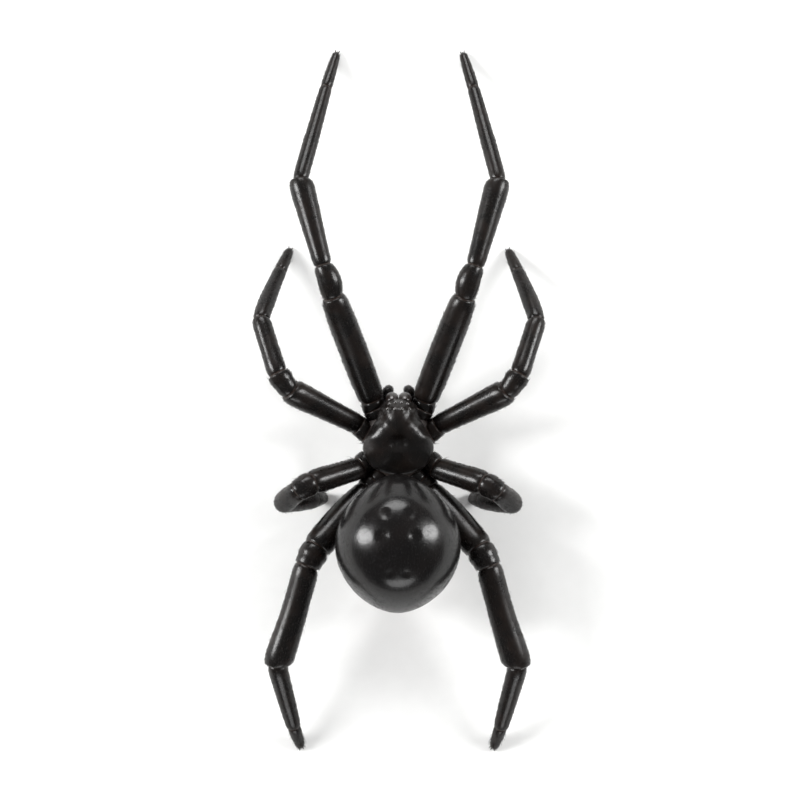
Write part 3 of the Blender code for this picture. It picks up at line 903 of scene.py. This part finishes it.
leg_look = leg_material()
claw_look = plate_material("claw_horn", (0.030, 0.012, 0.006), 0.24)
LEG_HAIRS = 4200
LEG_BRISTLES = 120
COMB_BRISTLES = 70
LEG_COVER = ((0.0, 0.2), (0.08, 0.6), (0.3, 0.8), (0.65, 1.0), (0.85, 1.6), (1.0, 2.0))
COMB_COVER = ((0, 0), (0.94, 0), (0.95, 1), (1, 1))
for number in LEG_ROOTS:
    names = [f"leg_{number}_left_{piece}" for piece in LEG_PIECES]
    rings, joints = leg_rings(number, names)
    leg = drawn_out(f"leg_{number}_left", rings)
    cut_level(leg, 0)
    smoothed(leg)
    mark_soft(leg, joints)
    claws = joined(claw_set(*rings[-1 - DOME_STEPS]), f"claws_{number}_left")
    smoothed(claws)
    dress_both(leg, leg_look, "leg_cuticle", *names)
    dress_both(claws, claw_look, "jaw_cuticle")
    path = spine(rings[::2])
    name = f"hairs_leg_{number}_left"
    coats = [
        hairs(name, leg, path, LEG_HAIRS, (0.23, 0.16), where=LEG_COVER),
        hairs(f"bristles_leg_{number}_left", leg, path, LEG_BRISTLES, (0.36, 0.26), 0.020, 32, LEG_COVER),
    ]
    if number == 4:  # the comb of curved bristles that draws the silk
        coats.append(hairs("comb", leg, path, COMB_BRISTLES, (0.30, 0.26), 0.024, 40, COMB_COVER))
    dress_both(joined(coats, name), hair_look, "leg_cuticle")

# ---- The palps ----
# A pair of short feelers beside the jaws, built as small hairy legs. Each grows from its plate
# beside the lip, its knee stands in front of the hip of the first leg, and its end hangs down
# in front of the jaws.

# (middle, radius) knots from the plate to the tip, in mm, and the joints among them.
PALP = (
    ((0.48, 0.84, 1.24), 0.24),
    ((0.66, 0.60, 1.12), 0.225),
    ((0.78, 0.34, 1.06), 0.22),
    ((0.80, 0.04, 1.10), 0.235),
    ((0.75, -0.22, 1.24), 0.255),
    ((0.65, -0.43, 1.38), 0.265),
    ((0.56, -0.56, 1.36), 0.265),
    ((0.53, -0.60, 1.16), 0.245),
    ((0.51, -0.57, 0.90), 0.21),
    ((0.49, -0.50, 0.64), 0.15),
    ((0.48, -0.46, 0.50), 0.09),
)
PALP_JOINTS = (0.13, 0.27, 0.53, 0.67)
PINCH_REACH = 0.035  # as a share of the palp
PINCH_DEPTH = 0.13


def pinched(rings):
    """Narrows the palp's chain of rings at its joints, and gives the joints."""
    count = len(rings) - 1
    narrowed = []
    for i, (middle, way, size) in enumerate(rings):
        away = min(abs(i / count - share) for share in PALP_JOINTS)
        pinch = PINCH_DEPTH * max(1 - away / PINCH_REACH, 0.0) ** 1.5
        narrowed.append((middle, way, size * (1 - pinch)))
    joints = [rings[round(share * count)][:2] for share in PALP_JOINTS]
    return narrowed, [(middle, way.normalized()) for middle, way in joints]


palp_rings, palp_joints = pinched(through(PALP, 64))
palp_rings += rounded_end(*palp_rings[-1], last=0.15)
palp = smoothed(drawn_out("palp_skin_left", palp_rings, 24))
mark_soft(palp, palp_joints, 0.3 * MM)
dress_both(palp, leg_look, "leg_cuticle", "palp_left")
coat = hairs("hairs_palp_left", palp, spine(palp_rings[::2]), 1100, (0.16, 0.13), 0.013, 26)
dress_both(coat, hair_look, "leg_cuticle")

# ---- The jaws ----
# Two stout upright jaws of chestnut horn hang below the front of the shield, with long hairs at
# their lower ends. Each carries a short curved fang, folded in and back across its end.

JAW = (
    ((0.36, 0.16, 2.78), 0.30),
    ((0.36, -0.06, 2.58), 0.345),
    ((0.36, -0.12, 2.34), 0.355),
    ((0.36, -0.07, 2.06), 0.335),
    ((0.36, 0.03, 1.76), 0.295),
    ((0.345, 0.14, 1.50), 0.24),
    ((0.325, 0.20, 1.32), 0.19),
    ((0.315, 0.225, 1.25), 0.12),
    ((0.312, 0.23, 1.235), 0.03),
)
FANG = (
    ((0.315, 0.20, 1.36), 0.115),
    ((0.305, 0.27, 1.22), 0.10),
    ((0.275, 0.35, 1.12), 0.08),
    ((0.225, 0.42, 1.05), 0.052),
    ((0.17, 0.46, 1.02), 0.022),
    ((0.15, 0.47, 1.015), 0.006),
)


def jaw_material():
    """Chestnut horn that darkens towards the root of the jaw."""
    made, places, shader = new_material("jaw_horn")
    cloud = places.noise(0.35, detail=4)
    dark = (places.part("Z") + cloud * 0.5).between(1.1, 2.5)
    scales = 1 - places.cells(0.03)
    feed(
        shader,
        Base_Color=dark.blend((0.050, 0.014, 0.006), (0.010, 0.006, 0.005)),
        Roughness=0.24 + cloud * 0.12,
        Normal=bumped(scales * 0.3 + cloud * 0.7, 0.008),
    )
    lacquered(shader, 0.35, 0.15, ior=1.54, mirror=0.5)
    return made


jaw_look = jaw_material()
jaw = smoothed(drawn_out("jaw_left", through(JAW, 22), 24))
dress_both(jaw, jaw_look, "jaw_cuticle", "chelicera_left")
path = spine(through(JAW, 12))
coat = hairs("hairs_jaw_left", jaw, path, 260, (0.16, 0.24), 0.013, 30, ((0.0, 0.4), (1.0, 1.8)))
dress_both(coat, hair_look, "jaw_cuticle")
fang = smoothed(drawn_out("fang_left", through(FANG, 18), 16))
dress_both(fang, jaw_look, "jaw_cuticle")

# ---- The carapace ----
# One hard shield roofs the head and thorax, glossy black. The head part is raised and set off by
# a groove on either side, shallow grooves fan out to the legs around a broad pit, and hairs
# stand on the head and round the edge and point forwards to the eyes.

MARGIN = 2.80 * MM  # height of the shield's edge, where it is widest
UNDERSIDE = 2.60 * MM
CARAPACE_RINGS = 30
END_SHARE = 0.03  # how far in the end rings lie, as a share of a half turn
HEAD_GROOVE = ((0.16, 2.05), (0.50, 1.60), (0.86, 1.12), (1.02, 0.84))
FAN_ENDS = ((1.34, 1.62), (1.72, 2.50), (1.30, 3.34))
FAN_START = (0.34, 2.30)
FAN_SPREAD = 0.12  # how far the fan's grooves start apart, as a share of how far they end apart
PIT = ((-0.08, 2.34), (0.08, 2.34))
LEVEL_SHARE = 0.25  # the share of a groove's reach that is its level bottom
DOWN, UP = Vector((0, 0, -1)), Vector((0, 0, 1))
FAR = 20 * MM  # well off any skin


def carapace_rings():
    """Rings across the shield, measured on its solid from front to back."""
    tree = measured(nodes["carapace"])
    low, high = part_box("carapace")
    rings = []
    for i in range(CARAPACE_RINGS + 1):
        share = (1 - cos(pi * (END_SHARE + (1 - 2 * END_SHARE) * i / CARAPACE_RINGS))) / 2
        y = low.y + (high.y - low.y) * share
        edge = tree.ray_cast(Vector((high.x * 2, y, MARGIN)), Vector((-1, 0, 0)))[0]
        crest = tree.ray_cast(Vector((0, y, high.z * 2)), DOWN)[0]
        size = Vector((edge.x, AS_IT_IS, crest.z - MARGIN))
        rings.append((Vector((0, y, MARGIN)), Vector((0, 1, 0)), size))
    # A smaller ring on each flat end holds it flat when the skin is smoothed.
    front, back = [
        (middle + way * out * 0.01 * MM, way, size * 0.8)
        for (middle, way, size), out in ((rings[0], -1), (rings[-1], 1))
    ]
    return [front, *rings, back]


def press(piece, path, reach, depth):
    """Presses a groove into a skin along a path in mm, soft to either side over its reach.

    A negative depth raises a ridge, and a path of one stop makes a round pit or knob.
    """
    near = off_path(places_of(piece), np.array([*path, path[-1]]) * MM)[0].min(1)
    bpy.context.tool_settings.mesh_select_mode = (True, False, False)
    with edited(piece):
        bpy.ops.mesh.select_all(action="DESELECT")
    picked = near < max(LEVEL_SHARE * reach * MM, near.min() * 1.05)
    piece.data.vertices.foreach_set("select", picked)
    bpy.ops.object.mode_set(mode="EDIT")
    soft = {"proportional_edit_falloff": "SMOOTH", "proportional_size": reach * MM}
    bpy.ops.transform.shrink_fatten(value=-depth * MM, use_proportional_edit=True, **soft)
    bpy.ops.object.mode_set(mode="OBJECT")


def on_skin(tree, path, way=DOWN):
    """A path of (x, y) in mm laid on a skin from above, or UP from below, in mm."""
    return [tree.ray_cast(mm(x, y, 0) - way * FAR, way)[0] / MM for x, y in path]


carapace = drawn_out("carapace_shield", carapace_rings(), 48)
cut_level(carapace, UNDERSIDE)
smoothed(carapace, 2)
tree = measured(carapace)
for side in (1, -1):
    press(carapace, on_skin(tree, [(side * x, y) for x, y in HEAD_GROOVE]), 0.38, 0.10)
    for end_x, end_y in FAN_ENDS:
        start_x, start_y = FAN_START[0], FAN_START[1] + FAN_SPREAD * (end_y - FAN_START[1])
        path = [
            (side * (start_x + (end_x - start_x) * along), start_y + (end_y - start_y) * along)
            for along in (0.0, 0.35, 0.7, 1.0)
        ]
        press(carapace, on_skin(tree, path), 0.40, 0.04)
modified(carapace, "SMOOTH", factor=0.5, iterations=18)
press(carapace, on_skin(measured(carapace), PIT), 0.46, 0.16)
dress(carapace, plate_material("carapace_cuticle", BROWN_BLACK, 0.26), "carapace_cuticle", "carapace")
coat = hairs(
    "hairs_carapace", carapace, straight(4.2, -0.3, 2.7, slope=0.5), 1500, (0.13, 0.17), 0.013, 32,
    ((0.0, 0.5), (0.35, 0.35), (0.6, 0.8), (0.85, 1.6), (1.0, 1.2)),
    keep=lambda place: place[:, 2] > 2.64,
)
dress(coat, hair_look, "carapace_cuticle")

# ---- The eyes ----
# Eight small round eyes stand on the head in two rows of four, each a wet bead in a low raised
# ring of the shield. The front middle pair is black, and the others are a little paler.

# Place along the shield in mm from its front, place off the middle, radius.
EYES = {
    "front_middle": (0.20, 0.17, 0.115),
    "front_side": (0.28, 0.50, 0.105),
    "back_middle": (0.56, 0.19, 0.110),
    "back_side": (0.56, 0.60, 0.105),
}
EYE_RINGS = [radians(angle) for angle in (-40, -20, 0, 15, 30, 45, 60, 75, 88)]
EYE_OUT, EYE_TALL = 0.10, 0.9  # how far its middle stands out and how tall it is, in radii
SOCKET_REACH = 2.0  # how far the ring round an eye reaches, in radii
SOCKET_HEIGHT = 0.035


def eye_material(name, colour, depth):
    """A wet black bead whose colour is cloudy from one depth to another."""
    made, places, shader = new_material(name)
    feed(
        shader,
        Base_Color=places.noise(0.05, detail=2).between(0.35, 0.65).blend(depth, colour),
        Roughness=0.06,
        Normal=bumped(places.noise(0.2), 0.002),
    )
    lacquered(shader, 1.0, 0.02, ior=1.5, mirror=0.5)
    return made


dark_eye = eye_material("eye_dark", (0.010, 0.006, 0.004), (0.003, 0.002, 0.002))
pale_eye = eye_material("eye_pale", (0.022, 0.017, 0.013), (0.004, 0.003, 0.003))
tree = measured(carapace)
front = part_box("carapace")[0].y
for name, (y, off, radius) in EYES.items():
    seat, normal, _, _ = tree.ray_cast(Vector((off * MM, front + y * MM, FAR)), DOWN)
    for side in (1, -1):
        place = Vector((side * seat.x, seat.y, seat.z)) / MM
        press(carapace, [place], radius * SOCKET_REACH, -SOCKET_HEIGHT)
    radius *= MM
    ball = []
    for angle in EYE_RINGS:
        out = EYE_OUT + EYE_TALL * sin(angle)
        ball.append((seat + normal * radius * out, normal, radius * max(cos(angle), 0.05)))
    eye = smoothed(drawn_out(f"eye_{name}_left", ball, 20))
    dress_both(eye, dark_eye if name == "front_middle" else pale_eye, "carapace_cuticle")

# ---- The abdomen ----
# A large round bag of thin tough skin, jet black and the glossiest part of the spider, with
# sparse flat hairs, hung on a narrow waist. Dimples on its back mark where muscles pull from
# inside, and a red hourglass lies on its belly between the furrow of the lungs and the tail.

SIDE_CUTS = 11  # across each face of the cube that the bag is shaped from
CUBE_CORNER = 3**0.5  # how far a cube's corner lies from its middle, for sides of 2
ABDOMEN_FILL = 0.03 * MM  # what subdivision takes off the round skin
# Dimples on the left of the back: place off the middle and along the body, reach, depth.
DIMPLES = (
    (0.70, 6.20, 0.40, 0.060),
    (0.86, 7.35, 0.46, 0.090),
    (0.66, 8.50, 0.40, 0.070),
    (0.46, 9.45, 0.34, 0.045),
)
# On the belly: the furrow of the lungs, the covers of the two lungs before it, and between
# them the raised plate of the womb's opening and its slit. Each is a path, its reach and depth.
BELLY_RELIEF = (
    (((-1.35, 5.86), (-0.7, 6.08), (0, 6.14), (0.7, 6.08), (1.35, 5.86)), 0.24, 0.05),
    (((0.80, 5.62), (1.15, 5.46)), 0.50, -0.035),
    (((-0.80, 5.62), (-1.15, 5.46)), 0.50, -0.035),
    (((-0.14, 5.80), (0.14, 5.80)), 0.42, -0.07),
    (((-0.15, 5.92), (0.15, 5.92)), 0.14, 0.06),
)
WAIST = (
    ((0, 3.66, 2.62), 0.20),
    ((0, 3.92, 2.64), 0.25),
    ((0, 4.12, 2.70), 0.26),
    ((0, 4.36, 2.84), 0.28),
    ((0, 4.60, 3.06), 0.34),
    ((0, 4.88, 3.34), 0.52),
    ((0, 5.30, 3.75), 0.75),
)
HOURGLASS_MIDDLE = 8.05
HOURGLASS_FRONT = 1.45
HOURGLASS_BACK = 1.25
HOURGLASS_WIDE = 0.95
HOURGLASS_NECK = 0.17
HOURGLASS_ROUND = 0.30  # how far its ends are rounded at their corners
SPOT_PLACE = (0, 11.35, 3.55)
SPOT_SIZE = (0.34, 0.45, 0.42)
RED = (0.62, 0.022, 0.008)


def belly_marks(places):
    """1 on the red hourglass of the belly and on the small red spot above the spinnerets."""
    x, y, z = (places.part(axis) for axis in "XYZ")
    wander = places.noise(0.5, detail=3) * 0.22 - 0.11
    along = y + wander - HOURGLASS_MIDDLE
    front = along * along.maths("LESS_THAN", along, 0.0) * (-1 / HOURGLASS_FRONT)
    back = along * along.maths("GREATER_THAN", along, 0.0) * (1 / HOURGLASS_BACK)
    reach = front + back
    half = HOURGLASS_NECK + (HOURGLASS_WIDE - HOURGLASS_NECK) * (reach ** 0.85)
    inside = half - x.maths("ABSOLUTE", x) - wander * 0.6
    end = (reach + x * x * HOURGLASS_ROUND).between(0.98, 1.06)
    glass = inside.between(-0.03, 0.05) * (1 - end) * (1 - z.between(3.6, 4.2))
    away = [(axis - middle) / size for axis, middle, size in zip((x, y, z), SPOT_PLACE, SPOT_SIZE)]
    spot = 1 - sum((share * share for share in away), wander).between(0.75, 1.1)
    return glass.maths("MAXIMUM", glass, spot)


def abdomen_material():
    """Thin jet black skin: fine scales and wrinkles, pits where hairs stand, and the red marks."""
    made, places, shader = new_material("abdomen_skin")
    marks = belly_marks(places)
    bloom = places.noise(1.6, detail=4).between(0.35, 0.8)
    wrinkle = places.node("Mapping", {}, {"Vector": places, "Scale": (0.5, 1.0, 1.0)}).noise(0.10)
    scales = 1 - places.cells(0.028)
    pits = places.cells(0.16).between(0.10, 0.26)
    red = places.noise(0.25, detail=4).between(0.3, 0.75).blend(RED, (0.42, 0.010, 0.006))
    black = (bloom * 0.35).blend((0.0040, 0.0036, 0.0036), (0.0095, 0.0065, 0.0055))
    feed(
        shader,
        Base_Color=marks.blend(black, red),
        Roughness=0.17 + bloom * 0.07 + wrinkle * 0.08 + marks * 0.12,
        Normal=bumped(scales * 0.2 + pits * 0.5 + wrinkle * 0.8, 0.006),
    )
    lacquered(shader, 0.12, 0.08)
    return made


low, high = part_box("abdomen")
bpy.ops.object.select_all(action="DESELECT")
bpy.ops.mesh.primitive_cube_add(size=2)
abdomen = active_mesh("abdomen_skin")
with edited(abdomen):
    bpy.ops.mesh.subdivide(number_cuts=SIDE_CUTS)
    bpy.ops.transform.tosphere(value=1)
    bpy.ops.transform.resize(value=(high - low) / 2 / CUBE_CORNER, center_override=(0, 0, 0))
    bpy.ops.transform.translate(value=(low + high) / 2)
wrap = {
    "target": nodes["abdomen"],
    "wrap_method": "NEAREST_SURFACEPOINT",
    "wrap_mode": "ABOVE_SURFACE",
    "offset": ABDOMEN_FILL,
}
modified(abdomen, "SHRINKWRAP", **wrap)
modified(abdomen, "SMOOTH", factor=0.5, iterations=3)
modified(abdomen, "SHRINKWRAP", **wrap)
smoothed(abdomen, 2)
tree = measured(abdomen)
for off, y, reach, depth in DIMPLES:
    for side in (1, -1):
        press(abdomen, on_skin(tree, [(side * off, y)]), reach, depth)
for path, reach, depth in BELLY_RELIEF:
    press(abdomen, on_skin(tree, path, UP), reach, depth)
waist = smoothed(drawn_out("waist", through(WAIST, 18)))
modified(abdomen, "BOOLEAN", operation="UNION", object=waist, solver="EXACT")
bpy.data.objects.remove(waist)
smoothed(abdomen, 0)
dress(abdomen, abdomen_material(), "abdomen_skin", "abdomen", "pedicel")
coat = hairs(
    "hairs_abdomen", abdomen, straight(3.9, 11.8, 5.2, slope=-0.8), 9000, (0.13, 0.15), 0.012, 16,
    keep=lambda place: place[:, 1] > 4.6,
)
dress(coat, hair_material("hair_abdomen", HAIR_BLACK, (0.36, 0.012, 0.006), belly_marks), "abdomen_skin")

# ---- The spinnerets ----
# A low ring at the back of the belly carries three pairs of short cones, the middle pair hidden
# between the others. They are black-brown cuticle, each drawn in to a ringed tip, and fine
# hairs cover them.

AXIS = Vector((0, 0.45, -0.9)).normalized()
RING = ((-0.55, 0.64), (-0.30, 0.66), (-0.02, 0.58), (0.05, 0.40))  # (place on the axis, radius)
# Place off the middle, place along the body, length, radius, lean back.
CONES = {
    "front": (0.25, -0.20, 0.84, 0.27, 0.16),
    "middle": (0.10, 0.06, 0.62, 0.12, 0.0),
    "back": (0.25, 0.26, 0.86, 0.24, -0.10),
}
CONE_TAPER = (
    (0, 1.0), (0.3, 1.05), (0.55, 0.92), (0.62, 0.76), (0.68, 0.78), (0.88, 0.50), (1.0, 0.16)
)
CONE_SINK = 0.15
CONE_LEAN = -0.3  # towards the middle, for each mm off it
low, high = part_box("spinnerets")
root = Vector((0, (low.y + high.y) / 2, (low.z + high.z) / 2)) / MM
base = through([(root + AXIS * along, radius) for along, radius in RING], 10)
parts = [smoothed(drawn_out("spinneret_ring", base + rounded_end(*base[-1]), 32))]
for name, (off, y, length, radius, lean) in CONES.items():
    start = root + Vector((off, y, 0)) - AXIS * CONE_SINK
    way = (AXIS + Vector((CONE_LEAN * off, lean, 0))).normalized()
    knots = [(start + way * length * along, radius * share) for along, share in CONE_TAPER]
    cone = smoothed(drawn_out(f"spinneret_{name}_left", through(knots, 18), 20))
    parts += [mirrored_copy(cone), cone]
spinnerets = joined(parts, "spinneret_group")
spinneret_look = plate_material("spinneret_cuticle", (0.024, 0.014, 0.009), 0.38, 0.07)
dress(spinnerets, spinneret_look, "underside_cuticle", "spinnerets")
path = np.array([(root - AXIS * 0.6) * MM, (root + AXIS * 0.9) * MM])
coat = hairs("hairs_spinnerets", spinnerets, path, 700, (0.12, 0.16), 0.012, 24, ((0, 0.6), (1, 1.6)))
dress(coat, hair_look, "underside_cuticle")
